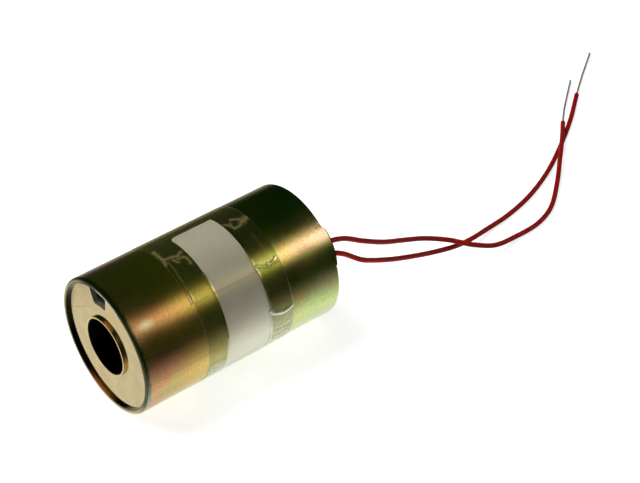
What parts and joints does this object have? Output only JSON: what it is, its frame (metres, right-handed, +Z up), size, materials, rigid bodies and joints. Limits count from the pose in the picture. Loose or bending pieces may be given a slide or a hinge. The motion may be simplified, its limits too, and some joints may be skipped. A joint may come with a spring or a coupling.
{
  "type": "push pull solenoid",
  "caption": "Tubular push-pull solenoid: a rolled-rim steel shell on its side, a plunger in a brass guide tube, a rear push rod, a bare label under clear tape and two stripped leads.",
  "frame": {"origin": "on the surface that the solenoid lies on, under the middle of the solenoid without its leads", "axes": "+Y along the bore from the open front end to the rear end with the leads, +Z up, +X to the side on which the leads leave"},
  "size_m": [0.0457, 0.1766, 0.0319],
  "materials": {
    "chromate_steel": "yellow chromate over zinc, glossy, iridescent",
    "plate_steel": "yellow chromate over zinc, nearly a mirror",
    "guide_brass": "drawn brass tube, polished",
    "bobbin_nylon": "moulded nylon, pale green grey",
    "magnet_wire": "enamelled copper wire",
    "coil_wrap": "yellow polyester film",
    "spring_steel": "plain spring steel",
    "core_steel": "turned soft iron",
    "shim_brass": "rolled brass sheet",
    "bush_bronze": "sintered bronze",
    "plunger_steel": "ground and nickel plated",
    "rod_steel": "ground stainless rod",
    "sleeve_plastic": "shrunk tubing",
    "lead_pvc": "dark red PVC, satin",
    "tinned_copper": "tinned copper strands, twisted",
    "label_paper": "white paper, bare",
    "tape_film": "clear polyester film, slightly yellow"
  },
  "bodies": {
    "housing": {"housing_shell": "chromate_steel", "front_end_plate": "plate_steel", "rear_end_plate": "plate_steel", "guide_tube": "guide_brass", "bobbin": "bobbin_nylon", "winding": "magnet_wire", "winding_wrap": "coil_wrap", "wave_washer": "spring_steel", "fixed_core": "core_steel", "pole_shim": "shim_brass", "rod_bush": "bush_bronze", "start_tail": "magnet_wire", "finish_tail": "magnet_wire", "splice_sleeve_a": "sleeve_plastic", "splice_sleeve_b": "sleeve_plastic", "lead_a": "lead_pvc", "lead_b": "lead_pvc", "conductor_a": "tinned_copper", "conductor_b": "tinned_copper", "label": "label_paper", "clear_tape": "tape_film"},
    "plunger": {"plunger": "plunger_steel", "push_rod": "rod_steel"}
  },
  "joints": [
    {"name": "plunger_slide", "type": "slide", "parent": "housing", "child": "plunger", "axis": [0, -1, 0], "range_m": [0, 0.012]}
  ]
}
